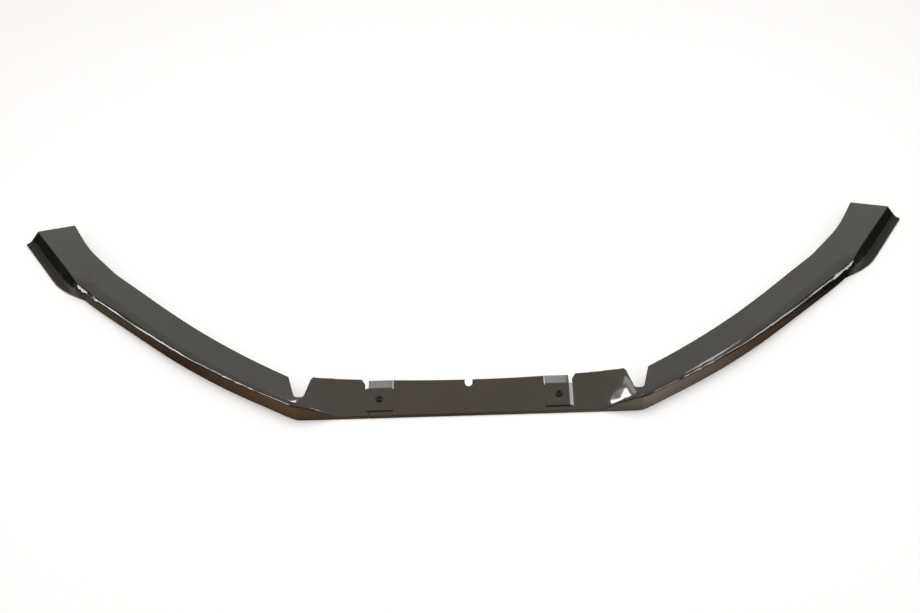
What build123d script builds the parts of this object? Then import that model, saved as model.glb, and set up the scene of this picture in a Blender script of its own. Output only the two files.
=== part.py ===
"""Front splitter lip of a car: a centre section and two swept side sections, lapped and screwed together.

Frame: X across the car, Y from the front edge towards the rear, Z up, with the lower edges on Z = 0.
The right-hand side section is modelled and mirrored to make the left-hand one.
"""
import os
from math import atan2, cos, degrees, radians, sin, tan

from build123d import *

# Moulded wall, in millimetres, shared by all three sections
wall = 3.0

# Plan of the wall's outer face on the right-hand half: the straight front ends at the corner,
# and three runs lead from there back to the wing's end
corner_x = 292.0
first_run = 205.0
second_run = 319.0
winglet_run = 224.0

# Sweep of those runs from straight across the car, in degrees
first_sweep = 32.3
second_sweep = 42.7
winglet_sweep = 57.1

# Length over which each turn between the runs is spread: the wall turns sharply at the corner
# and at the winglet, and the flange above it more gradually
corner_spread = 16.0
corner_flange_spread = 64.0
bend_spread = 240.0
winglet_spread = 50.0
winglet_flange_spread = 178.0

# Flange: one plane that falls gently to the rear, and its width at each place along the wing
flange_front_height = 35.0
flange_fall = 0.75
corner_flange = 52.5
bend_flange = 59.0
middle_flange = 62.5
root_flange = 67.5
waist_flange = 59.5
end_flange = 68.5

# Inside radius of the rounded crease between flange and wall, which opens into a roll at the root
corner_crease = 5.0
bend_crease = 7.5
root_crease = 22.0
winglet_crease = 0.6
crease_strips = 6

# Winglet: over a ramp the wall leans out and bends into a narrow shelf, and the end is cut on the skew
winglet_lean = 38.0
shelf_slope = 22.0
root_shelf = 3.0
winglet_shelf = 9.5
root_bend_length = 1.2
winglet_bend_length = 4.5
ramp_start = 10.0
ramp_length = 90.0
ramp_power = 2.5
end_skew = 19.3

# Inclined plate of the centre and arms, with a small upright nose along the front edge
nose_height = 6.0
nose_crease = 0.8

# Tail of the wall, which dies away along the front edge inside the corner
tail_length = 64.0
tail_bulge = 1.4

# Rear edge of the centre and arms: one shallow arc, bowed back as far as the corner notches
rear_middle_y = 59.0
rear_bow = 12.7
rear_allowance = 2.3

# Relief notch inside each corner and small notch at the middle of the rear edge
notch_inset = 5.0
notch_mouth = 40.0
notch_floor = 15.0
notch_floor_y = 21.0
notch_floor_radius = 7.0
middle_notch_width = 13.0
middle_notch_depth = 12.0

# Lap joint: beyond its arm each side section steps up into a tab over the end of the centre section
arm_length = 52.0
joggle_run = 6.0
tab_length = 41.0
tab_front_y = 8.0
lap_clearance = 0.2
butt_gap = 1.0

# Level strip along the rear of each tab, and the cut-back beside it
hem_start_y = 47.0
hem_length = 18.5
hem_clearance = 1.0
relief_run = 13.0
relief_depth = 10.0

# Joint screw and nut
screw_inset = 23.0
screw_y = 28.0
screw_diameter = 6.0
screw_hole_clearance = 0.6
screw_head_diameter = 13.0
screw_head_height = 3.4
screw_tip = 2.0
socket_width = 4.0
socket_depth = 2.0
nut_width = 10.0
nut_height = 6.0
nut_flange_diameter = 13.5
nut_flange_height = 1.4
nut_bore_clearance = 0.2

# Even steps between the sections of each loft
tail_steps = 4
corner_steps = 2
wing_steps = 10
ramp_steps = 6
shelf_steps = 3

# Room by which cutting tools run past what they cut
overrun = 20.0

UP = Vector(0, 0, 1)

# Places along X, from the corner inwards
tail_x = corner_x - tail_length
notch_x = corner_x - notch_inset
joggle_x = tail_x - arm_length
tab_root_x = joggle_x - joggle_run
tab_end_x = tab_root_x - tab_length
screw_x = tab_end_x + screw_inset

# Distances along the wall from the tail
corner_at = tail_length
corner_start_at = corner_at - corner_flange_spread / 2
corner_end_at = corner_at + corner_flange_spread / 2
bend_at = corner_at + first_run
winglet_at = bend_at + second_run
ramp_end_at = winglet_at + ramp_start + ramp_length
end_at = winglet_at + winglet_run
tip_at = end_at + end_flange * tan(radians(end_skew)) + overrun


def heading(angle):
    """Unit vector in plan at an angle from +X towards +Y."""
    return Vector(cos(radians(angle)), sin(radians(angle)), 0)


def share_of(distance, length):
    """Share of a length that a distance covers, held between none and all."""
    return min(max(distance / length, 0), 1)


def between(distance, knots):
    """Value at a distance, in straight lines between knots of distance and value."""
    for (start, low), (end, high) in zip(knots, knots[1:]):
        if distance <= end:
            return low + (high - low) * share_of(distance - start, end - start)
    return knots[-1][1]


def smooth_between(distance, knots):
    """Value at a distance, on one smooth curve through knots of distance and value."""
    last = len(knots) - 1
    index = next((place for place in range(last) if distance <= knots[place + 1][0]), last - 1)
    (start, low), (end, high) = knots[index:index + 2]
    share = share_of(distance - start, end - start)
    tangents = []
    for place in (index, index + 1):
        before, after = knots[max(place - 1, 0)], knots[min(place + 1, last)]
        tangents.append((after[1] - before[1]) / (after[0] - before[0]) * (end - start))
    eased = share ** 2 * (3 - 2 * share)
    bow = tangents[0] * (1 - share) - tangents[1] * share
    return low + (high - low) * eased + share * (1 - share) * bow


def sweep_at(distance, first_spread, last_spread):
    """Heading in degrees at a distance from the tail, with the first and last turns spread as given."""
    turns = [
        (corner_at, first_spread, first_sweep),
        (bend_at, bend_spread, second_sweep - first_sweep),
        (winglet_at, last_spread, winglet_sweep - second_sweep),
    ]
    return sum(turn * share_of(distance - at + spread / 2, spread) for at, spread, turn in turns)


def flange_sweep(distance):
    """Heading in degrees of the flange at a distance from the tail."""
    return sweep_at(distance, corner_flange_spread, winglet_flange_spread)


def point_at(distance, steps=1500):
    """Plan point of the wall's outer face at a distance from the tail, summed along its heading."""
    length = distance / steps
    point = Vector(tail_x, 0, 0)
    for index in range(steps):
        sweep = sweep_at((index + 0.5) * length, corner_spread, winglet_spread)
        point += heading(sweep) * length
    return point


def stretch(station, start, end, steps):
    """Loft between two distances through sections at even steps."""
    return loft([station(start + (end - start) * index / steps) for index in range(steps + 1)])


def flange_height(point):
    """Height of the flange's upper face above a plan point."""
    return flange_front_height - point.Y * tan(radians(flange_fall))


def section_plane(point, sweep):
    """Upright section plane at a plan point: local x runs inwards across the flange, local y is up."""
    return Plane(origin=point, x_dir=heading(sweep + 90), z_dir=heading(sweep))


def line(start, end):
    return Edge.make_line(start, end)


def arcs(centre, radius, start_angle, end_angle):
    """Circular edges about a centre between two angles, one for each strip of a rounded crease."""
    count = 2 * crease_strips
    step = (end_angle - start_angle) / count
    points = [centre + heading(start_angle + step * index) * radius for index in range(count + 1)]
    return [Edge.make_three_point_arc(*points[first:first + 3]) for first in range(0, count, 2)]


def flange_and_crease(width, crease, corner_height, rear_height, lean=0):
    """Outer and inner edges of flange and crease, and the tops of the wall's outer and inner faces."""
    slope = degrees(atan2(rear_height - corner_height, width))
    rear = Vector(width, rear_height)
    outside = crease + wall
    flange_side = slope + 90
    wall_side = 180 - lean
    to_corner = outside / cos(radians((wall_side - flange_side) / 2))
    centre = Vector(0, corner_height) - heading((wall_side + flange_side) / 2) * to_corner
    normal = heading(flange_side)
    outer = [
        line(rear, centre + normal * outside),
        *arcs(centre, outside, flange_side, wall_side),
    ]
    inner = [
        *arcs(centre, crease, wall_side, flange_side),
        line(centre + normal * crease, rear - normal * wall),
        line(rear - normal * wall, rear),
    ]
    return outer, inner, centre + heading(wall_side) * outside, centre + heading(wall_side) * crease


def lip_section(plane, width, crease, corner_height, rear_height):
    """Closed section of flange, crease and straight wall, placed in its plane."""
    outer, inner, outer_top, inner_top = flange_and_crease(width, crease, corner_height, rear_height)
    upright = [
        line(outer_top, Vector(0, 0)),
        line(Vector(0, 0), Vector(wall, 0)),
        line(Vector(wall, 0), inner_top),
    ]
    return plane * Face(Wire(outer + upright + inner))


def winglet_section(plane, width, crease, heights, lean, slope, shelf, bend_length):
    """Closed section of flange, crease, leaning wall, rounded bend and shelf down to Z = 0, in its plane."""
    corner_height, rear_height = heights
    outer, inner, outer_top, inner_top = flange_and_crease(width, crease, corner_height, rear_height, lean)
    across = heading(-lean) * wall
    inside = heading(slope - 90) * wall
    bend_height = shelf * sin(radians(slope)) - inside.Y
    bend_point = Vector(-(corner_height - bend_height) * tan(radians(lean)), bend_height)
    inner_bend = bend_point + (across + inside) / (1 + across.dot(inside) / wall ** 2)
    bend_top = bend_point + heading(90 - lean) * bend_length
    bend_foot = bend_point - heading(slope) * bend_length
    shelf_edge = bend_point - heading(slope) * shelf
    flared = [
        line(outer_top, bend_top),
        Edge.make_bezier(bend_top, bend_point, bend_foot),
        line(bend_foot, shelf_edge),
        line(shelf_edge, shelf_edge + inside),
        line(shelf_edge + inside, bend_foot + inside),
        Edge.make_bezier(bend_foot + inside, inner_bend, bend_top + across),
        line(bend_top + across, inner_top),
    ]
    return plane * Face(Wire(outer + flared + inner))


plate_depth = rear_middle_y + rear_bow + rear_allowance
plate_rear_height = flange_height(Vector(0, plate_depth, 0))
plate_slope = degrees(atan2(plate_rear_height - nose_height, plate_depth))
plate_normal = Vector(0, -sin(radians(plate_slope)), cos(radians(plate_slope)))
plate_along = Vector(0, cos(radians(plate_slope)), sin(radians(plate_slope)))


def plate_section(x):
    """Section across the inclined plate at a place along the front edge."""
    plane = section_plane(Vector(x, 0, 0), 0)
    return lip_section(plane, plate_depth, nose_crease, nose_height, plate_rear_height)


def plate_point(x, y, lift=0):
    """Point over plan place x, y on the plate's upper face, lifted along its normal."""
    base = Vector(x, y, nose_height + y * tan(radians(plate_slope)))
    return base + plate_normal * lift


def flange_width(distance):
    """Width of the flange at a distance from the tail."""
    if distance <= corner_end_at:
        return between(distance, [(corner_start_at, plate_depth), (corner_end_at, corner_flange)])
    return smooth_between(distance, [
        (corner_end_at, corner_flange),
        (bend_at, bend_flange),
        ((bend_at + winglet_at) / 2, middle_flange),
        (winglet_at, root_flange),
        ((winglet_at + end_at) / 2, waist_flange),
        (end_at, end_flange),
    ])


def wing_station(distance):
    """Section of the tail, corner or wing at a distance from the tail."""
    point = point_at(distance)
    sweep = flange_sweep(distance)
    width = flange_width(distance)
    if distance <= corner_at:
        crease = between(distance, [(0, nose_crease), (corner_at, corner_crease)])
    else:
        crease = smooth_between(
            distance, [(corner_at, corner_crease), (bend_at, bend_crease), (winglet_at, root_crease)])
    rise = 1 - (1 - share_of(distance, corner_at)) ** tail_bulge
    corner_height = nose_height + (flange_height(point) - nose_height) * rise
    rear_height = flange_height(point + heading(sweep + 90) * width)
    return lip_section(section_plane(point, sweep), width, crease, corner_height, rear_height)


def winglet_station(distance):
    """Section of the flared winglet at a distance from the tail."""
    point = point_at(distance)
    sweep = flange_sweep(distance)
    width = flange_width(distance)
    heights = flange_height(point), flange_height(point + heading(sweep + 90) * width)
    flare = 1 - (1 - share_of(distance - winglet_at - ramp_start, ramp_length)) ** ramp_power
    crease = root_crease + (winglet_crease - root_crease) * flare
    slope = 90 + (shelf_slope - 90) * flare
    shelf = root_shelf + (winglet_shelf - root_shelf) * flare
    bend_length = root_bend_length + (winglet_bend_length - root_bend_length) * flare
    return winglet_section(
        section_plane(point, sweep), width, crease, heights, winglet_lean * flare, slope, shelf, bend_length)


def wing_body():
    """Side section from the tail round the corner to the start of the winglet."""
    tail = stretch(wing_station, 0, corner_at, tail_steps)
    corner = stretch(wing_station, corner_at, corner_end_at, corner_steps)
    return tail + corner + stretch(wing_station, corner_end_at, winglet_at, wing_steps)


def winglet_body():
    """Flared end of the side section, cut off on the skew."""
    ramp = stretch(winglet_station, winglet_at, ramp_end_at, ramp_steps)
    body = ramp + stretch(winglet_station, ramp_end_at, tip_at, shelf_steps)
    end_plane = Plane(origin=point_at(end_at), x_dir=heading(winglet_sweep + 90 + end_skew), z_dir=UP)
    size = 4 * end_flange + winglet_run
    return body - end_plane * Box(size, size, size, align=(Align.CENTER, Align.MAX, Align.CENTER))


def thickened(points):
    """Closed outline of a folded strip one wall thick, below and to the right of a run of points."""
    ways = [(end - start).normalized() for start, end in zip(points, points[1:])]
    sides = [Vector(way.Y, -way.X) for way in ways]
    shifts = [sides[0]]
    for before, after in zip(sides, sides[1:]):
        shifts.append((before + after) / (1 + before.dot(after)))
    shifts.append(sides[-1])
    under = [point + shift * wall for point, shift in zip(points, shifts)]
    return Polyline(*points, *reversed(under), close=True)


lap_lift = wall + lap_clearance


def joggle_body():
    """Ramp from the arm up to the tab, in front of the level strip."""
    points = [
        Vector(tab_end_x, lap_lift),
        Vector(tab_root_x, lap_lift),
        Vector(joggle_x, 0),
        Vector(joggle_x + joggle_run, 0),
    ]
    front = plate_point(0, tab_front_y)
    rear = plate_point(0, hem_start_y)
    plane = Plane(origin=front, x_dir=(1, 0, 0), z_dir=-plate_along)
    return extrude(plane * make_face(thickened(points)), -(rear - front).length)


def tab_body():
    """Raised tab with the level strip along its rear, spread along X."""
    plane = Plane(origin=(tab_end_x, 0, 0), x_dir=(0, 1, 0), z_dir=(1, 0, 0))
    front = plate_point(0, tab_front_y, lap_lift)
    fold = plate_point(0, hem_start_y, lap_lift)
    points = [
        Vector(front.Y, front.Z),
        Vector(fold.Y, fold.Z),
        Vector(fold.Y + hem_length, fold.Z),
    ]
    return extrude(plane * make_face(thickened(points)), tab_length)


def upright_cut(outline):
    """Cutting tool through the full height from a closed plan outline."""
    height = flange_front_height + 2 * overrun
    return Pos(0, 0, -overrun) * extrude(make_face(outline), height)


def rear_trim():
    """Everything behind the shallow arc of the rear edge, as far out as the corner notches."""
    end_y = rear_middle_y + rear_bow
    far_y = plate_depth + 2 * overrun
    edge = ThreePointArc((-notch_x, end_y), (0, rear_middle_y), (notch_x, end_y))
    back = Polyline((notch_x, end_y), (notch_x, far_y), (-notch_x, far_y), (-notch_x, end_y))
    return upright_cut(edge + back)


def corner_notch():
    """Tapered notch with a rounded floor, open to the rear."""
    depth = plate_depth + overrun - notch_floor_y
    spread = (notch_mouth - notch_floor) / 2 / (rear_middle_y + rear_bow - notch_floor_y)
    half_mouth = notch_floor / 2 + spread * depth
    points = [
        (notch_x - half_mouth, notch_floor_y + depth),
        (notch_x - notch_floor / 2, notch_floor_y),
        (notch_x + notch_floor / 2, notch_floor_y),
        (notch_x + half_mouth, notch_floor_y + depth),
    ]
    sides = FilletPolyline(*points, radius=notch_floor_radius)
    return upright_cut(sides + Line(points[-1], points[0]))


def middle_notch():
    """Round-ended slot in the middle of the rear edge."""
    half = middle_notch_width / 2
    round_y = rear_middle_y - middle_notch_depth + half
    mouth_y = rear_middle_y + overrun
    floor = ThreePointArc((-half, round_y), (0, round_y - half), (half, round_y))
    mouth = Polyline((half, round_y), (half, mouth_y), (-half, mouth_y), (-half, round_y))
    return upright_cut(floor + mouth)


def plan_box(x_low, x_high, y_low, y_high):
    """Cutting tool over a rectangle in plan."""
    corners = [(x_low, y_low), (x_high, y_low), (x_high, y_high), (x_low, y_high)]
    return upright_cut(Polyline(*corners, close=True))


def joint_plane(lift):
    """Seat across the joint screw's axis, lifted from the plate's upper face."""
    return Plane(origin=plate_point(screw_x, screw_y, lift), x_dir=(1, 0, 0), z_dir=plate_normal)


def joint_hole():
    """Clearance hole through both layers of the lap."""
    radius = (screw_diameter + screw_hole_clearance) / 2
    return joint_plane(lap_lift / 2) * Cylinder(radius, 2 * lap_lift + 2 * wall)


def side_section():
    """Right-hand side section: arm, tab, corner, wing and winglet in one moulding."""
    far_y = plate_depth + overrun
    relief_y = hem_start_y + hem_length - relief_depth
    relief = [(joggle_x, relief_y), (joggle_x + relief_run, plate_depth), (joggle_x, far_y)]
    body = wing_body() + extrude(plate_section(tail_x), tab_root_x - tail_x)
    body -= rear_trim()
    body -= corner_notch()
    body -= plan_box(tab_root_x - overrun, joggle_x, tab_front_y, far_y)
    body -= upright_cut(Polyline(*relief, close=True))
    for piece in (winglet_body(), joggle_body(), tab_body()):
        body += piece
    return body - joint_hole()


def centre_section():
    """Straight inclined plate between the two arms, cut back under the tabs' level strips."""
    half = tab_root_x - butt_gap
    plate = extrude(plate_section(-half), 2 * half) - rear_trim() - middle_notch()
    cut_back = plan_box(
        tab_end_x - hem_clearance, half + overrun, hem_start_y - hem_clearance, plate_depth + overrun)
    hole = joint_hole()
    for tool in (cut_back, hole):
        plate = plate - tool - mirror(tool, Plane.YZ)
    return plate


def joint_screw():
    """Button-head socket screw through the right-hand lap."""
    radius = screw_diameter / 2
    head_radius = screw_head_diameter / 2
    length = lap_lift + wall + nut_height + screw_tip
    outline = Polyline(
        (0, -length),
        (radius, -length),
        (radius, 0),
        (head_radius, 0),
        (head_radius, screw_head_height * 0.3),
        ((head_radius * 2 + socket_width) / 3, screw_head_height * 0.75),
        ((head_radius + socket_width * 2) / 3, screw_head_height),
        (0, screw_head_height),
        close=True,
    )
    body = revolve(Plane.XZ * make_face(outline), Axis.Z)
    hexagon = RegularPolygon(socket_width / 2, 6, major_radius=False)
    socket = Pos(0, 0, screw_head_height) * extrude(hexagon, -socket_depth)
    return joint_plane(lap_lift) * (body - socket)


def joint_nut():
    """Flanged nut under the right-hand lap."""
    bore = Cylinder((screw_diameter + nut_bore_clearance) / 2, 2 * nut_height)
    washer_face = extrude(Circle(nut_flange_diameter / 2), -nut_flange_height)
    hexagon = extrude(RegularPolygon(nut_width / 2, 6, major_radius=False), -nut_height)
    return joint_plane(-wall) * (washer_face + hexagon - bore)


def pair(piece):
    """A piece and its mirror image on the other side, as one group of separate solids."""
    return Compound(children=[piece, mirror(piece, Plane.YZ)])


def main():
    os.makedirs("parts", exist_ok=True)
    right = side_section()
    nodes = {
        "centre_section": centre_section(),
        "right_side_section": right,
        "left_side_section": mirror(right, Plane.YZ),
        "joint_screws": pair(joint_screw()),
        "joint_nuts": pair(joint_nut()),
    }
    for name, shape in nodes.items():
        export_step(shape, f"parts/{name}.step")


main()
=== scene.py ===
"""Front splitter lip: gloss black mouldings and their joint fasteners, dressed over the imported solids.

All sizes are in metres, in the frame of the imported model: X across the car, Y to the rear, Z up.
"""
from math import cos, pi, radians, sin

import bmesh
import bpy
from bpy.props import FloatProperty, FloatVectorProperty, PointerProperty
from mathutils import Matrix, Vector


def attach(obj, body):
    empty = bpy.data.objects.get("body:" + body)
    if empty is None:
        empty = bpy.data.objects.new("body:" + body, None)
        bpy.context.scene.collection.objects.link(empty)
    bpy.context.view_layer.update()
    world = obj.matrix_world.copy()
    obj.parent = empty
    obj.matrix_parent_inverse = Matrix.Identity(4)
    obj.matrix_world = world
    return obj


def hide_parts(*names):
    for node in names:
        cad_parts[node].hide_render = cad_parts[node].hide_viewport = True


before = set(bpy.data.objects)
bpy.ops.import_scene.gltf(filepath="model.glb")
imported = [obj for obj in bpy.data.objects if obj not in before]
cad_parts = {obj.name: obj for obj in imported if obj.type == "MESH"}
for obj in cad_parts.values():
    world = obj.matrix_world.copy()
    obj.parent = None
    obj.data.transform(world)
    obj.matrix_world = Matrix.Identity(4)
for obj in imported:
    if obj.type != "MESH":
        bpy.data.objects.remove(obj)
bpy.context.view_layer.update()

bl_info = {
    "name": "Front splitter lip",
    "version": (1, 0, 0),
    "blender": (4, 5, 0),
    "location": "3D View > Sidebar > Lip",
    "description": "Dresses the solids of a front splitter lip and sets them on a studio floor",
    "category": "Object",
}

BODY = "root"
IMAGE_WIDTH = 920
SENSOR_WIDTH = 36.0


# Sizes and colours that a user would change

def length(name, description, default):
    return FloatProperty(name=name, description=description, default=default, unit="LENGTH", precision=5)


def share(name, description, default):
    return FloatProperty(name=name, description=description, default=default, subtype="FACTOR")


def angle(name, description, default):
    return FloatProperty(
        name=name, description=description, default=radians(default), unit="ROTATION", precision=4)


def colour(name, description, default):
    return FloatVectorProperty(
        name=name, description=description, default=default, subtype="COLOR", min=0.0, max=1.0)


def place(name, description, default):
    return FloatVectorProperty(
        name=name, description=description, default=default, subtype="XYZ", unit="LENGTH", precision=5)


def plain(name, description, default):
    return FloatProperty(name=name, description=description, default=default)


class MouldingSettings(bpy.types.PropertyGroup):
    """Finish of the three mouldings."""
    fold_angle: angle("Fold angle", "Edges that turn by more than this show as a fold", 19.0)
    strip_angle: angle("Strip angle", "Facets that differ by less than this lie in one strip", 4.0)
    broad: length("Broad face", "Faces wider than this stay flat up to their edges", 0.009)
    wing_start: length(
        "Wing start", "Distance from the middle beyond which the curves are shaded evenly", 0.32)
    base: colour("Base", "Colour of the plastic under its gloss", (0.0055, 0.0050, 0.0044))
    haze: colour("Haze", "Colour of the thin film of handling and dust", (0.06, 0.055, 0.047))
    haze_share: share("Haze share", "Most of the surface that haze covers", 0.07)
    speck_share: share("Speck share", "Most of the surface that specks cover", 0.02)
    roughness: share("Roughness", "Roughness of the moulded gloss", 0.13)
    film_roughness: share("Film roughness", "Roughness that the film adds", 0.07)
    coat_roughness: share("Coat roughness", "Roughness of the gloss on top", 0.06)
    ior: plain("IOR", "Index of refraction of the plastic and its gloss", 1.52)
    ripple: length("Ripple", "Height of the faint waves that the mould leaves", 0.00004)
    patch_scale: plain("Patch scale", "Patches of film in a metre", 11.0)
    grain_scale: plain("Grain scale", "Specks in a metre", 1400.0)
    ripple_scale: plain("Ripple scale", "Waves in a metre", 22.0)
    satin: share("Satin", "Roughness of the winglets' low shelves", 0.5)
    satin_start: length("Satin start", "Distance from the middle at which the satin shelves begin", 0.70)
    satin_fade: length("Satin fade", "Length over which the satin begins", 0.02)
    satin_height: length("Satin height", "Height up to which the shelves are satin", 0.011)
    satin_rise: length("Satin rise", "Height over which the satin ends", 0.004)


class FastenerSettings(bpy.types.PropertyGroup):
    """Sizes and finish of the joint screws and nuts."""
    seat: place("Seat", "Middle of the right-hand screw's seat on its tab", (0.152, 0.0268665, 0.0195989))
    tilt: angle("Tilt", "Slope of the plate that the screws stand on", 20.7470)
    grip: length("Grip", "Thickness of both layers of the lap", 0.0062)
    head_diameter: length("Head diameter", "Diameter of the button head", 0.013)
    head_height: length("Head height", "Height of the button head", 0.0034)
    socket_width: length("Socket width", "Width across the flats of the socket", 0.004)
    socket_depth: length("Socket depth", "Depth of the socket", 0.002)
    shank_diameter: length("Shank diameter", "Outside diameter of the thread", 0.006)
    thread_pitch: length("Thread pitch", "Distance from one thread to the next", 0.001)
    thread_depth: length("Thread depth", "Depth of the thread's groove", 0.00045)
    tip: length("Tip", "Length of thread that shows below the nut", 0.002)
    nut_width: length("Nut width", "Width across the nut's flats", 0.010)
    nut_height: length("Nut height", "Height of the nut with its flange", 0.006)
    flange_diameter: length("Flange diameter", "Diameter of the nut's flange", 0.0135)
    flange_height: length("Flange height", "Height of the nut's flange at its rim", 0.0014)
    bore: length("Bore", "Diameter of the nut's bore", 0.0062)
    base: colour("Base", "Colour of the blackened steel", (0.012, 0.012, 0.0125))
    worn: colour("Worn", "Colour where the blackening is rubbed", (0.09, 0.088, 0.085))
    worn_share: share("Worn share", "Most of the surface that is rubbed", 0.35)
    metallic: share("Metallic", "Share of bare metal in the finish", 0.6)
    roughness: share("Roughness", "Roughness of the blackened steel", 0.38)
    speck_roughness: share("Speck roughness", "Roughness that the specks add", 0.15)
    ripple: length("Ripple", "Height of the finish's waves", 0.00003)
    patch_scale: plain("Patch scale", "Rubbed patches in a metre", 420.0)
    grain_scale: plain("Grain scale", "Specks in a metre", 5200.0)
    ripple_scale: plain("Ripple scale", "Waves in a metre", 900.0)


class StageSettings(bpy.types.PropertyGroup):
    """Floor, light and camera."""
    aim: place("Aim", "Floor point in the middle of the view", (-0.0107558, 0.2856159, 0.0))
    azimuth: angle("Azimuth", "Turn of the view from straight ahead", 0.0087)
    elevation: angle("Elevation", "Height of the view above the floor", 40.1640)
    roll: angle("Roll", "Turn of the camera about its own axis", 1.7074)
    distance: length("Distance", "Distance from the camera to the aim", 2.7439644)
    focal: plain("Focal length", "Focal length in pixels of the image's width", 1498.584)
    floor_size: length("Floor size", "Side of the square floor", 40.0)
    paper: colour("Paper", "Colour of the floor", (0.93, 0.96, 1.0))
    sky: colour("Sky", "Colour of the light from above", (0.85, 0.815, 0.755))
    zenith: colour("Zenith", "Colour of the light from straight overhead", (1.0, 0.835, 0.70))
    sky_strength: plain("Sky strength", "Strength of the light from above", 0.78)
    dusk: colour("Dusk", "Colour of the dark band round the horizon", (0.030, 0.028, 0.026))
    key_radiance: plain("Key radiance", "Brightness of the lamp overhead", 1.5)
    box_radiance: plain("Box radiance", "Brightness of the light boxes that the gloss mirrors", 9.0)


def settings():
    return bpy.context.scene.lip


# Nodes

def feed(tree, socket, value):
    """Links a socket or sets a plain value."""
    if isinstance(value, bpy.types.NodeSocket):
        tree.links.new(value, socket)
    else:
        socket.default_value = value


def node(tree, kind, values=None, **traits):
    """New node with its traits set and its inputs fed by name or place."""
    made = tree.nodes.new(kind)
    for trait, value in traits.items():
        setattr(made, trait, value)
    for label, value in (values or {}).items():
        feed(tree, made.inputs[label], value)
    return made


def math(tree, operation, *values):
    """Result of a math node on sockets or numbers."""
    return node(tree, "ShaderNodeMath", dict(enumerate(values)), operation=operation).outputs["Value"]


def ramp(tree, value, low, high, to_low=0.0, to_high=1.0):
    """Value mapped smoothly from one range to another."""
    values = {"Value": value, "From Min": low, "From Max": high, "To Min": to_low, "To Max": to_high}
    return node(tree, "ShaderNodeMapRange", values, interpolation_type="SMOOTHSTEP").outputs["Result"]


def mixed(tree, factor, first, second):
    """Mix of two colours, each a socket or plain, by a factor."""
    ends = [end if isinstance(end, bpy.types.NodeSocket) else (*end, 1.0) for end in (first, second)]
    values = {"Factor": factor, "A": ends[0], "B": ends[1]}
    return node(tree, "ShaderNodeMix", values, data_type="RGBA").outputs["Result"]


def noise(tree, position, scale, detail, roughness):
    """Noise value at a scale in cells per metre."""
    values = {"Vector": position, "Scale": scale, "Detail": detail, "Roughness": roughness}
    return node(tree, "ShaderNodeTexNoise", values).outputs["Fac"]


def split(tree, point):
    """X, Y and Z of a point."""
    return node(tree, "ShaderNodeSeparateXYZ", {"Vector": point}).outputs


def coordinates(tree, kind):
    """Point in one of the texture coordinates."""
    return node(tree, "ShaderNodeTexCoord").outputs[kind]


# Finishes

# Noise at which the film and the specks begin and are full
FILM_EDGE = (0.38, 0.72)
SPECK_EDGE = (0.62, 0.78)


def new_group(name, inputs, outputs):
    """Shader node group with named sockets; returns the group and its input and output nodes."""
    group = bpy.data.node_groups.new(name, "ShaderNodeTree")
    for label, kind, default in inputs:
        socket = group.interface.new_socket(label, in_out="INPUT", socket_type=kind)
        if default is not None:
            socket.default_value = default
    for label, kind in outputs:
        group.interface.new_socket(label, in_out="OUTPUT", socket_type=kind)
    return group, group.nodes.new("NodeGroupInput"), group.nodes.new("NodeGroupOutput")


def handling_group():
    """Handling marks and fine grain: a patchy film, specks and a faint ripple."""
    group, inlet, outlet = new_group(
        "HandlingMarks",
        [
            ("Position", "NodeSocketVector", None),
            ("Patch Scale", "NodeSocketFloat", 14.0),
            ("Grain Scale", "NodeSocketFloat", 900.0),
            ("Ripple Scale", "NodeSocketFloat", 26.0),
        ],
        [
            ("Film", "NodeSocketFloat"),
            ("Specks", "NodeSocketFloat"),
            ("Ripple", "NodeSocketFloat"),
        ],
    )
    position = inlet.outputs["Position"]
    patches = noise(group, position, inlet.outputs["Patch Scale"], detail=5.0, roughness=0.62)
    grain = noise(group, position, inlet.outputs["Grain Scale"], detail=2.0, roughness=0.55)
    waves = noise(group, position, inlet.outputs["Ripple Scale"], detail=2.0, roughness=0.4)
    group.links.new(ramp(group, patches, *FILM_EDGE), outlet.inputs["Film"])
    group.links.new(ramp(group, grain, *SPECK_EDGE), outlet.inputs["Specks"])
    group.links.new(waves, outlet.inputs["Ripple"])
    return group


def new_material(name):
    """Empty node material with its shader; returns the material, tree and shader."""
    material = bpy.data.materials.new(name)
    material.use_nodes = True
    tree = material.node_tree
    tree.nodes.clear()
    output = tree.nodes.new("ShaderNodeOutputMaterial")
    shader = tree.nodes.new("ShaderNodeBsdfPrincipled")
    tree.links.new(shader.outputs["BSDF"], output.inputs["Surface"])
    return material, tree, shader


def marks_in(tree, look):
    """Handling marks placed in a material, on Object coordinates, at the finish's own scales."""
    values = {
        "Position": coordinates(tree, "Object"),
        "Patch Scale": look.patch_scale,
        "Grain Scale": look.grain_scale,
        "Ripple Scale": look.ripple_scale,
    }
    group = bpy.data.node_groups.get("HandlingMarks") or handling_group()
    return node(tree, "ShaderNodeGroup", node_tree=group, values=values).outputs


def bump_in(tree, height, distance, shader):
    """Bump from a height, as deep as the distance, into the shader's normal."""
    bump = node(tree, "ShaderNodeBump", {"Strength": 1.0, "Distance": distance, "Height": height})
    tree.links.new(bump.outputs["Normal"], shader.inputs["Normal"])


def low_tips(tree, look):
    """Mask of the winglets' low shelves, on Object coordinates."""
    point = split(tree, coordinates(tree, "Object"))
    reach = math(tree, "ABSOLUTE", point["X"])
    outside = ramp(tree, reach, look.satin_start, look.satin_start + look.satin_fade)
    low = ramp(tree, point["Z"], look.satin_height, look.satin_height + look.satin_rise, 1.0, 0.0)
    return math(tree, "MULTIPLY", outside, low)


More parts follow.
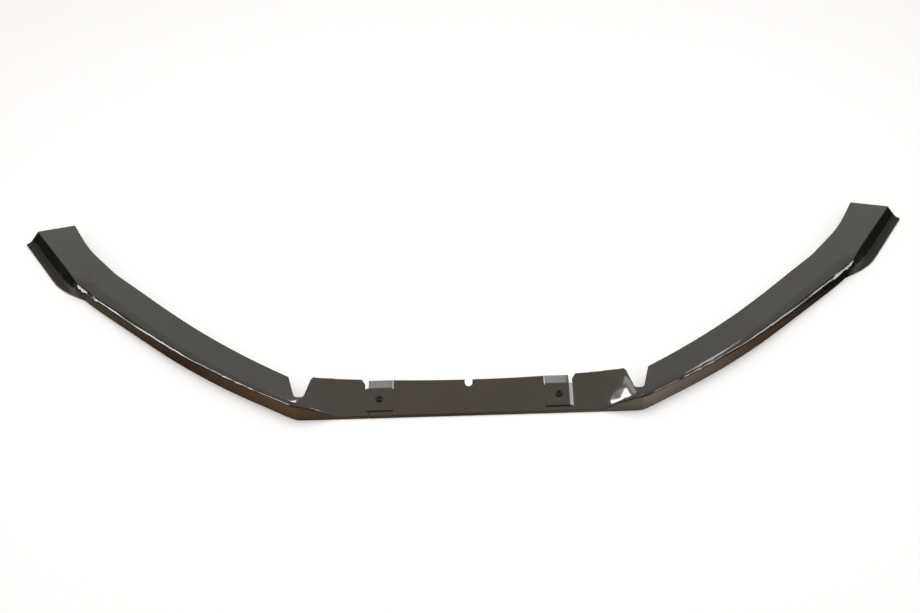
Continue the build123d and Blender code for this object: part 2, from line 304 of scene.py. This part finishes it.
def moulding_material():
    """Gloss black moulded plastic with a faint warm film, the mould's ripple and satin shelves."""
    existing = bpy.data.materials.get("gloss_black_moulding")
    if existing:
        return existing
    look = settings().moulding
    material, tree, shader = new_material("gloss_black_moulding")
    marks = marks_in(tree, look)
    film = math(tree, "MULTIPLY", marks["Film"], look.haze_share)
    cover = math(tree, "MULTIPLY_ADD", marks["Specks"], look.speck_share, film)
    tree.links.new(mixed(tree, cover, look.base, look.haze), shader.inputs["Base Color"])
    gloss = ramp(tree, marks["Film"], 0.0, 1.0, look.roughness, look.roughness + look.film_roughness)
    satin = low_tips(tree, look)
    tree.links.new(ramp(tree, satin, 0.0, 1.0, gloss, look.satin), shader.inputs["Roughness"])
    tree.links.new(math(tree, "SUBTRACT", 1.0, satin), shader.inputs["Coat Weight"])
    bump_in(tree, marks["Ripple"], look.ripple, shader)
    shader.inputs["IOR"].default_value = look.ior
    shader.inputs["Coat Roughness"].default_value = look.coat_roughness
    shader.inputs["Coat IOR"].default_value = look.ior
    return material


def fastener_material():
    """Blackened steel, rubbed to bare metal in small patches."""
    existing = bpy.data.materials.get("blackened_steel")
    if existing:
        return existing
    look = settings().fastener
    material, tree, shader = new_material("blackened_steel")
    marks = marks_in(tree, look)
    rubbed = math(tree, "MULTIPLY", marks["Film"], look.worn_share)
    tree.links.new(mixed(tree, rubbed, look.base, look.worn), shader.inputs["Base Color"])
    rough = ramp(tree, marks["Specks"], 0.0, 1.0, look.roughness, look.roughness + look.speck_roughness)
    tree.links.new(rough, shader.inputs["Roughness"])
    bump_in(tree, marks["Ripple"], look.ripple, shader)
    shader.inputs["Metallic"].default_value = look.metallic
    return material


# Mouldings

# Points nearer than this become one, and edges shorter than this go
WELD_DISTANCE = 0.00002
SLIVER_LENGTH = 0.00001
# Rounds in which the curves' normals are evened
EVENING_PASSES = 6


def finished(piece, cad_node):
    """Rides a finished piece on the body in place of a CAD node."""
    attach(piece, BODY)
    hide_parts(cad_node)


def plain_mesh(piece):
    """Turns a piece with modifiers into a plain mesh without them."""
    evaluated = piece.evaluated_get(bpy.context.evaluated_depsgraph_get())
    mesh = bpy.data.meshes.new_from_object(evaluated)
    piece.modifiers.clear()
    old = piece.data
    piece.data = mesh
    bpy.data.meshes.remove(old)


def fans(vertex):
    """Groups of a vertex's faces that run into each other without a fold."""
    groups = [[face] for face in vertex.link_faces]
    for edge in vertex.link_edges:
        if edge.smooth and len(edge.link_faces) == 2:
            joined = [group for group in groups if any(face in group for face in edge.link_faces)]
            groups = [group for group in groups if group not in joined] + [sum(joined, [])]
    return groups


def face_width(face):
    return 2 * face.calc_area() / max(edge.calc_length() for edge in face.edges)


def fan_normal(faces, look):
    """Normal where faces meet: that of a broad face, or else an even mean over the strips of a curve."""
    strips = []
    for face in faces:
        near = [strip for strip in strips if strip[0].normal.angle(face.normal, pi) < look.strip_angle]
        if near:
            near[0].append(face)
        else:
            strips.append([face])
    means = [
        sum((face.normal * face.calc_area() for face in strip), Vector()).normalized()
        for strip in strips]
    widths = [max(face_width(face) for face in strip) for strip in strips]
    if max(widths) > look.broad:
        return means[widths.index(max(widths))]
    return sum(means, Vector()).normalized()


def is_flat(faces, look):
    return max(face_width(face) for face in faces) > look.broad


def evened(work, normals, look):
    """Normals of the curves, each moved towards those next to it along its strip."""
    result = dict(normals)
    for vertex in work.verts:
        if abs(vertex.co.x) < look.wing_start:
            continue
        for faces in fans(vertex):
            if is_flat(faces, look):
                continue
            borders = [
                edge for edge in vertex.link_edges
                if edge.smooth and edge.link_faces[0] in faces
                and edge.calc_face_angle(0.0) > look.strip_angle]
            near = [normals[edge.link_faces[0].index, edge.other_vert(vertex).index] for edge in borders]
            own = normals[faces[0].index, vertex.index]
            mean = sum(near, own * max(len(near), 1)).normalized()
            for face in faces:
                result[face.index, vertex.index] = mean
    return result


def dress_moulding(cad_node, name):
    """Copy of a moulding's solid with its facets joined and its curves shaded evenly."""
    look = settings().moulding
    work = bmesh.new()
    work.from_mesh(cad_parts[cad_node].data)
    bmesh.ops.remove_doubles(work, verts=work.verts, dist=WELD_DISTANCE)
    bmesh.ops.dissolve_degenerate(work, dist=SLIVER_LENGTH, edges=work.edges)
    for face in work.faces:
        face.smooth = True
    for edge in work.edges:
        edge.smooth = edge.calc_face_angle(0.0) < look.fold_angle
    work.verts.index_update()
    work.faces.index_update()
    normals = {}
    for vertex in work.verts:
        for group in fans(vertex):
            normal = fan_normal(group, look)
            for face in group:
                normals[face.index, vertex.index] = normal
    for _ in range(EVENING_PASSES):
        normals = evened(work, normals, look)
    mesh = bpy.data.meshes.new(name)
    work.to_mesh(mesh)
    work.free()
    corners = [(loop, face.index) for face in mesh.polygons for loop in face.loop_indices]
    mesh.normals_split_custom_set([normals[face, mesh.loops[loop].vertex_index] for loop, face in corners])
    mesh.materials.append(moulding_material())
    piece = bpy.data.objects.new(name, mesh)
    bpy.context.scene.collection.objects.link(piece)
    finished(piece, cad_node)


class LIP_OT_centre_section(bpy.types.Operator):
    """Dress the centre section: the inclined plate with its nose and notch"""
    bl_idname = "lip.centre_section"
    bl_label = "Centre Section"

    def execute(self, context):
        dress_moulding("centre_section", "centre_plate")
        return {"FINISHED"}


class LIP_OT_side_sections(bpy.types.Operator):
    """Dress the two side sections: arm, tab, corner, wing and winglet"""
    bl_idname = "lip.side_sections"
    bl_label = "Side Sections"

    def execute(self, context):
        for side in ("right", "left"):
            dress_moulding(f"{side}_side_section", f"{side}_wing")
        return {"FINISHED"}


# Fasteners

# Sides round the drums and rings along them
ROUND_SIDES = 48
HEAD_RINGS = 10
SHANK_SIDES = 32
SHANK_RINGS = 64
BORE_SIDES = 32
HEX_SIDES = 6
# The button head's crown: width of its flat top against its rim, and the powers of its curve
CROWN_TOP = 0.6
CROWN_RISE = 2.2
CROWN_ROUND = 0.5


def new_tree(name, inputs):
    """Geometry node tree with named inputs; returns the tree and its input and output nodes."""
    tree = bpy.data.node_groups.new(name, "GeometryNodeTree")
    tree.interface.new_socket("Geometry", in_out="OUTPUT", socket_type="NodeSocketGeometry")
    for label, kind in inputs:
        tree.interface.new_socket(label, in_out="INPUT", socket_type=kind)
    return tree, tree.nodes.new("NodeGroupInput"), tree.nodes.new("NodeGroupOutput")


def vector(tree, x=0.0, y=0.0, z=0.0):
    return node(tree, "ShaderNodeCombineXYZ", {"X": x, "Y": y, "Z": z}).outputs["Vector"]


def half(tree, value):
    return math(tree, "MULTIPLY", value, 0.5)


def minus(tree, value):
    return math(tree, "MULTIPLY", value, -1.0)


def hex_radius(tree, width):
    """Radius at the corners of a hexagon from its width across flats."""
    return math(tree, "DIVIDE", half(tree, width), cos(pi / HEX_SIDES))


def moved(tree, geometry, offset):
    """Geometry moved by a vector."""
    return node(
        tree, "GeometryNodeTransform", {"Geometry": geometry, "Translation": offset}).outputs["Geometry"]


def drum(tree, radius, depth, vertices, rings=1):
    """Upright drum standing on Z = 0."""
    made = node(
        tree, "GeometryNodeMeshCylinder",
        {"Vertices": vertices, "Side Segments": rings, "Radius": radius, "Depth": depth})
    return moved(tree, made.outputs["Mesh"], vector(tree, z=half(tree, depth)))


def point_of(tree):
    """X, Y and Z of each point of the geometry."""
    return split(tree, node(tree, "GeometryNodeInputPosition").outputs["Position"])


def shaped(tree, geometry, scale):
    """Geometry with every point's X and Y multiplied by a scale that may follow its height."""
    point = point_of(tree)
    x, y = [math(tree, "MULTIPLY", point[axis], scale) for axis in "XY"]
    spread = vector(tree, x, y, point["Z"])
    return node(
        tree, "GeometryNodeSetPosition", {"Geometry": geometry, "Position": spread}).outputs["Geometry"]


def combined(tree, operation, first, others):
    """Union or difference of solids."""
    made = node(tree, "GeometryNodeMeshBoolean", operation=operation, solver="EXACT")
    if operation == "DIFFERENCE":
        tree.links.new(first, made.inputs["Mesh 1"])
        for other in others:
            tree.links.new(other, made.inputs["Mesh 2"])
    else:
        for each in (first, *others):
            tree.links.new(each, made.inputs["Mesh 2"])
    return made.outputs["Mesh"]


def set_on_pair(tree, inlet, outlet, geometry):
    """Stands one copy of a piece at the seat and one at its mirror image, and gives both their material."""
    seat = inlet.outputs["Seat"]
    span = vector(tree, math(tree, "MULTIPLY", split(tree, seat)["X"], -2.0))
    places = node(
        tree, "GeometryNodeMeshLine", {"Count": 2, "Start Location": seat, "Offset": span},
        mode="OFFSET").outputs["Mesh"]
    turn = vector(tree, inlet.outputs["Tilt"])
    placed = node(
        tree, "GeometryNodeInstanceOnPoints", {"Points": places, "Instance": geometry, "Rotation": turn})
    real = node(tree, "GeometryNodeRealizeInstances", {"Geometry": placed.outputs["Instances"]})
    smooth = node(
        tree, "GeometryNodeSetShadeSmooth", {"Geometry": real.outputs["Geometry"], "Shade Smooth": True})
    coated = node(
        tree, "GeometryNodeSetMaterial",
        {"Geometry": smooth.outputs["Geometry"], "Material": inlet.outputs["Material"]})
    tree.links.new(coated.outputs["Geometry"], outlet.inputs["Geometry"])


SEAT_INPUTS = [
    ("Seat", "NodeSocketVector"),
    ("Tilt", "NodeSocketFloat"),
    ("Material", "NodeSocketMaterial"),
]


def screw_tree():
    """Button-head socket screws with a threaded shank."""
    sizes = ["Head Diameter", "Head Height", "Socket Width", "Socket Depth",
             "Shank Diameter", "Shank Length", "Thread Pitch", "Thread Depth"]
    tree, inlet, outlet = new_tree(
        "ButtonScrews", SEAT_INPUTS + [(size, "NodeSocketFloat") for size in sizes])
    size = inlet.outputs
    dome = drum(tree, half(tree, size["Head Diameter"]), size["Head Height"], ROUND_SIDES, HEAD_RINGS)
    rise = math(tree, "DIVIDE", point_of(tree)["Z"], size["Head Height"])
    flank = math(tree, "SUBTRACT", 1.0, math(tree, "POWER", rise, CROWN_RISE))
    crown = math(tree, "MULTIPLY_ADD", math(tree, "POWER", flank, CROWN_ROUND), 1 - CROWN_TOP, CROWN_TOP)
    head = shaped(tree, dome, crown)
    floor = math(tree, "SUBTRACT", size["Head Height"], size["Socket Depth"])
    socket = drum(tree, hex_radius(tree, size["Socket Width"]), size["Head Height"], HEX_SIDES)
    head = combined(tree, "DIFFERENCE", head, [moved(tree, socket, vector(tree, z=floor))])
    shank = drum(tree, half(tree, size["Shank Diameter"]), size["Shank Length"], SHANK_SIDES, SHANK_RINGS)
    wave = math(tree, "PINGPONG", point_of(tree)["Z"], half(tree, size["Thread Pitch"]))
    groove = math(tree, "MULTIPLY", wave, 2.0)
    groove = math(tree, "DIVIDE", groove, size["Thread Pitch"])
    groove = math(tree, "MULTIPLY", groove, size["Thread Depth"])
    groove = math(tree, "DIVIDE", groove, half(tree, size["Shank Diameter"]))
    shank = shaped(tree, shank, math(tree, "SUBTRACT", 1.0, groove))
    shank = moved(tree, shank, vector(tree, z=minus(tree, size["Shank Length"])))
    whole = node(tree, "GeometryNodeJoinGeometry")
    for part in (head, shank):
        tree.links.new(part, whole.inputs["Geometry"])
    set_on_pair(tree, inlet, outlet, whole.outputs["Geometry"])
    return tree


def nut_tree():
    """Flanged hexagon nuts with a clear bore."""
    sizes = ["Nut Width", "Nut Height", "Flange Diameter", "Flange Height", "Bore", "Grip"]
    tree, inlet, outlet = new_tree(
        "FlangedNuts", SEAT_INPUTS + [(size, "NodeSocketFloat") for size in sizes])
    size = inlet.outputs
    hexagon = drum(tree, hex_radius(tree, size["Nut Width"]), size["Nut Height"], HEX_SIDES)
    collar = drum(tree, half(tree, size["Flange Diameter"]), size["Flange Height"], ROUND_SIDES)
    through = math(tree, "MULTIPLY", size["Nut Height"], 3.0)
    bore = drum(tree, half(tree, size["Bore"]), through, BORE_SIDES)
    bore = moved(tree, bore, vector(tree, z=minus(tree, size["Nut Height"])))
    body = combined(tree, "UNION", hexagon, [collar])
    body = combined(tree, "DIFFERENCE", body, [bore])
    hung = node(tree, "GeometryNodeTransform", {"Geometry": body, "Rotation": (pi, 0.0, 0.0)})
    under = vector(tree, z=minus(tree, size["Grip"]))
    set_on_pair(tree, inlet, outlet, moved(tree, hung.outputs["Geometry"], under))
    return tree


def made_by_nodes(name, tree, values, cad_node):
    """Piece whose mesh comes from a geometry node tree with the given input values."""
    piece = bpy.data.objects.new(name, bpy.data.meshes.new(name))
    bpy.context.scene.collection.objects.link(piece)
    modifier = piece.modifiers.new(tree.name, "NODES")
    modifier.node_group = tree
    for item in tree.interface.items_tree:
        if item.in_out == "INPUT":
            modifier[item.identifier] = values[item.name]
    plain_mesh(piece)
    if not piece.data.polygons:
        raise RuntimeError(f"{name} came out empty")
    finished(piece, cad_node)


def seat_values(look):
    return {"Seat": look.seat, "Tilt": look.tilt, "Material": fastener_material()}


class LIP_OT_joint_screws(bpy.types.Operator):
    """Make the two button-head joint screws"""
    bl_idname = "lip.joint_screws"
    bl_label = "Joint Screws"

    def execute(self, context):
        look = settings().fastener
        values = seat_values(look)
        values.update({
            "Head Diameter": look.head_diameter,
            "Head Height": look.head_height,
            "Socket Width": look.socket_width,
            "Socket Depth": look.socket_depth,
            "Shank Diameter": look.shank_diameter,
            "Shank Length": look.grip + look.nut_height + look.tip,
            "Thread Pitch": look.thread_pitch,
            "Thread Depth": look.thread_depth,
        })
        made_by_nodes("button_screws", screw_tree(), values, "joint_screws")
        return {"FINISHED"}


class LIP_OT_joint_nuts(bpy.types.Operator):
    """Make the two flanged joint nuts"""
    bl_idname = "lip.joint_nuts"
    bl_label = "Joint Nuts"

    def execute(self, context):
        look = settings().fastener
        values = seat_values(look)
        values.update({
            "Nut Width": look.nut_width,
            "Nut Height": look.nut_height,
            "Flange Diameter": look.flange_diameter,
            "Flange Height": look.flange_height,
            "Bore": look.bore,
            "Grip": look.grip,
        })
        made_by_nodes("flanged_nuts", nut_tree(), values, "joint_nuts")
        return {"FINISHED"}


# Stage

# Just below the part's lower edges, with the card of painted reflections between
FLOOR_HEIGHT = -0.0002
PAINTED_REFLECTION_CARD_HEIGHT = -0.0001

# Painted reflection: colours of the card that only the gloss mirrors, from left to right, each at its X,
# within the reach to both sides. Near black at both ends gives dark reflections in the walls by the
# winglets, warm browns and tans lie between, and a pale band right of the middle gives a painted highlight
# in the right-hand corner's wall
REFLECTION_BAND_REACH = 1.0
PAINTED_REFLECTION_BANDS = (
    (-0.88, (0.02, 0.018, 0.016)),
    (-0.74, (0.30, 0.25, 0.18)),
    (-0.52, (0.15, 0.09, 0.06)),
    (-0.30, (0.62, 0.40, 0.24)),
    (0.00, (0.40, 0.30, 0.22)),
    (0.33, (0.95, 0.85, 0.74)),
    (0.52, (0.28, 0.19, 0.14)),
    (0.70, (0.02, 0.018, 0.016)),
)


def painted_reflection_bands(tree):
    """Painted reflection colour that follows the bands along X, on Object coordinates."""
    x = split(tree, coordinates(tree, "Object"))["X"]
    along = math(tree, "MULTIPLY_ADD", x, 1 / (2 * REFLECTION_BAND_REACH), 0.5)
    reflection_bands = node(tree, "ShaderNodeValToRGB", {"Fac": along})
    stops = reflection_bands.color_ramp.elements
    while len(stops) < len(PAINTED_REFLECTION_BANDS):
        stops.new(1.0)
    for stop, (middle, tint) in zip(stops, PAINTED_REFLECTION_BANDS):
        stop.position = (middle + REFLECTION_BAND_REACH) / (2 * REFLECTION_BAND_REACH)
        stop.color = (*tint, 1.0)
    return reflection_bands.outputs["Color"]


def sheet(name, side, height):
    """Square matt sheet of the stage; returns its object, material tree and shader."""
    half_side = side / 2
    mesh = bpy.data.meshes.new(name)
    corners = [(x * half_side, y * half_side, height) for x, y in ((-1, -1), (1, -1), (1, 1), (-1, 1))]
    mesh.from_pydata(corners, [], [(0, 1, 2, 3)])
    material, tree, shader = new_material(name)
    shader.inputs["Roughness"].default_value = 0.9
    shader.inputs["Specular IOR Level"].default_value = 0.0
    mesh.materials.append(material)
    made = bpy.data.objects.new(name, mesh)
    bpy.context.scene.collection.objects.link(made)
    return made, tree, shader


def studio_floor(look):
    """Pale floor that shows as white and keeps the object's shadow."""
    _, _, shader = sheet("studio_floor", look.floor_size, FLOOR_HEIGHT)
    shader.inputs["Base Color"].default_value = (*look.paper, 1.0)


def painted_reflection_card(look):
    """Warm dark card on the floor that only the gloss mirrors: it paints reflections of dark and warm
    surroundings, and a pale painted highlight, into the walls.
    """
    card, tree, shader = sheet("painted_reflection_card", look.floor_size, PAINTED_REFLECTION_CARD_HEIGHT)
    tree.links.new(painted_reflection_bands(tree), shader.inputs["Base Color"])
    card.visible_camera = False
    card.visible_diffuse = False
    card.visible_shadow = False


# Where the sky leaves the dusk and where it becomes the zenith, as sines of the height above the horizon
DUSK_EDGE = (0.18, 0.45)
OVERHEAD_EDGE = (0.70, 0.97)


def studio_sky(look):
    """Even light from above, warmer overhead, with a dark band round the horizon."""
    world = bpy.data.worlds.new("studio_sky")
    world.use_nodes = True
    tree = world.node_tree
    tree.nodes.clear()
    height = split(tree, coordinates(tree, "Generated"))["Z"]
    above = mixed(tree, ramp(tree, height, *OVERHEAD_EDGE), look.sky, look.zenith)
    around = mixed(tree, ramp(tree, height, *DUSK_EDGE), look.dusk, above)
    light = node(tree, "ShaderNodeBackground", {"Color": around, "Strength": look.sky_strength})
    node(tree, "ShaderNodeOutputWorld", {"Surface": light.outputs["Background"]})
    bpy.context.scene.world = world


def area_lamp(name, spot, aim, wide, tall, radiance):
    """Soft lamp at a spot, facing an aim, with its width level."""
    lamp = bpy.data.lights.new(name, "AREA")
    lamp.shape = "RECTANGLE"
    lamp.size = wide
    lamp.size_y = tall
    lamp.energy = radiance * pi * wide * tall
    holder = bpy.data.objects.new(name, lamp)
    back = (Vector(spot) - Vector(aim)).normalized()
    x_axis = Vector((-back.y, back.x, 0.0)).normalized()
    turn = Matrix((x_axis, back.cross(x_axis), back)).transposed()
    holder.matrix_world = Matrix.Translation(spot) @ turn.to_4x4()
    holder.visible_camera = False
    bpy.context.scene.collection.objects.link(holder)
    return holder


# Lamp overhead: spot, aim, width, height
KEY_LAMP = ((0.0, 0.40, 2.60), (0.0, 0.25, 0.0), 3.6, 3.2)

# Light boxes that only the gloss mirrors: name, spot, aim, width, height, share of brightness
LIGHT_BOXES = (
    ("left_box", (-2.30, -0.40, 0.19), (-0.45, 0.12, 0.0), 1.55, 0.36, 0.75),
    ("right_box", (2.30, -0.24, 0.18), (0.45, 0.12, 0.0), 1.50, 0.34, 0.50),
    ("leaf_box", (-0.450, 0.590, 0.946), (0.256, 0.004, 0.023), 0.48, 0.10, 1.5),
    ("notch_glint", (-0.295, 1.07, 1.38), (0.263, 0.03, 0.03), 0.20, 0.16, 0.25),
    ("joggle_glint", (0.643, 0.180, 0.362), (0.169, 0.03, 0.02), 0.18, 0.12, 0.40),
    ("tail_glint", (0.55, -0.62, 1.12), (-0.25, 0.0, 0.0), 0.25, 0.14, 0.9),
    ("left_hem", (-0.184, 0.494, 0.435), (-0.151, 0.056, 0.027), 0.055, 0.05, 0.22),
    ("right_hem", (0.180, 0.490, 0.436), (0.144, 0.053, 0.027), 0.055, 0.05, 0.22),
)


def studio_lamps(look):
    """Lamp overhead for the plain light, and the boxes for the highlights."""
    key = area_lamp("key_lamp", *KEY_LAMP, look.key_radiance)
    key.visible_glossy = False
    for name, spot, aim, wide, tall, strength in LIGHT_BOXES:
        box = area_lamp(name, spot, aim, wide, tall, look.box_radiance * strength)
        box.visible_diffuse = False


def view_camera(look):
    """Camera at the photograph's viewing angle."""
    lens = bpy.data.cameras.new("view")
    lens.sensor_fit = "HORIZONTAL"
    lens.sensor_width = SENSOR_WIDTH
    lens.lens = look.focal * SENSOR_WIDTH / IMAGE_WIDTH
    lens.clip_end = 100.0
    level = cos(look.elevation)
    ahead = Vector((sin(look.azimuth) * level, cos(look.azimuth) * level, -sin(look.elevation)))
    right = Vector((cos(look.azimuth), -sin(look.azimuth), 0.0))
    up = right.cross(ahead)
    x_axis = right * cos(look.roll) - up * sin(look.roll)
    y_axis = right * sin(look.roll) + up * cos(look.roll)
    turn = Matrix((x_axis, y_axis, -ahead)).transposed()
    holder = bpy.data.objects.new("view", lens)
    holder.matrix_world = Matrix.Translation(Vector(look.aim) - ahead * look.distance) @ turn.to_4x4()
    bpy.context.scene.collection.objects.link(holder)
    bpy.context.scene.camera = holder


class LIP_OT_stage(bpy.types.Operator):
    """Make the floor, the light and the camera"""
    bl_idname = "lip.stage"
    bl_label = "Stage"

    def execute(self, context):
        look = settings().stage
        studio_floor(look)
        # The card paints reflections into the gloss of the walls
        painted_reflection_card(look)
        studio_sky(look)
        studio_lamps(look)
        view_camera(look)
        context.scene.view_settings.view_transform = "Standard"
        return {"FINISHED"}


# Panel and registration

STEPS = (
    LIP_OT_centre_section,
    LIP_OT_side_sections,
    LIP_OT_joint_screws,
    LIP_OT_joint_nuts,
    LIP_OT_stage,
)


class LipSettings(bpy.types.PropertyGroup):
    """All settings of the lip."""
    moulding: PointerProperty(type=MouldingSettings, name="Moulding", description="Finish of the mouldings")
    fastener: PointerProperty(type=FastenerSettings, name="Fastener", description="Screws and nuts")
    stage: PointerProperty(type=StageSettings, name="Stage", description="Floor, light and camera")


class LIP_PT_panel(bpy.types.Panel):
    """Lists the lip's pieces and settings"""
    bl_idname = "LIP_PT_panel"
    bl_label = "Front Splitter Lip"
    bl_space_type = "VIEW_3D"
    bl_region_type = "UI"
    bl_category = "Lip"

    def draw(self, context):
        for group in (context.scene.lip.moulding, context.scene.lip.fastener, context.scene.lip.stage):
            box = self.layout.box()
            for name in group.__annotations__:
                box.prop(group, name)
        for step in STEPS:
            self.layout.operator(step.bl_idname)


CLASSES = (MouldingSettings, FastenerSettings, StageSettings, LipSettings, *STEPS, LIP_PT_panel)


def register():
    for each in CLASSES:
        bpy.utils.register_class(each)
    bpy.types.Scene.lip = PointerProperty(type=LipSettings)


def unregister():
    del bpy.types.Scene.lip
    for each in reversed(CLASSES):
        bpy.utils.unregister_class(each)


def main():
    register()
    bpy.ops.lip.centre_section()
    bpy.ops.lip.side_sections()
    bpy.ops.lip.joint_screws()
    bpy.ops.lip.joint_nuts()
    bpy.ops.lip.stage()


if __name__ == "__main__":
    main()
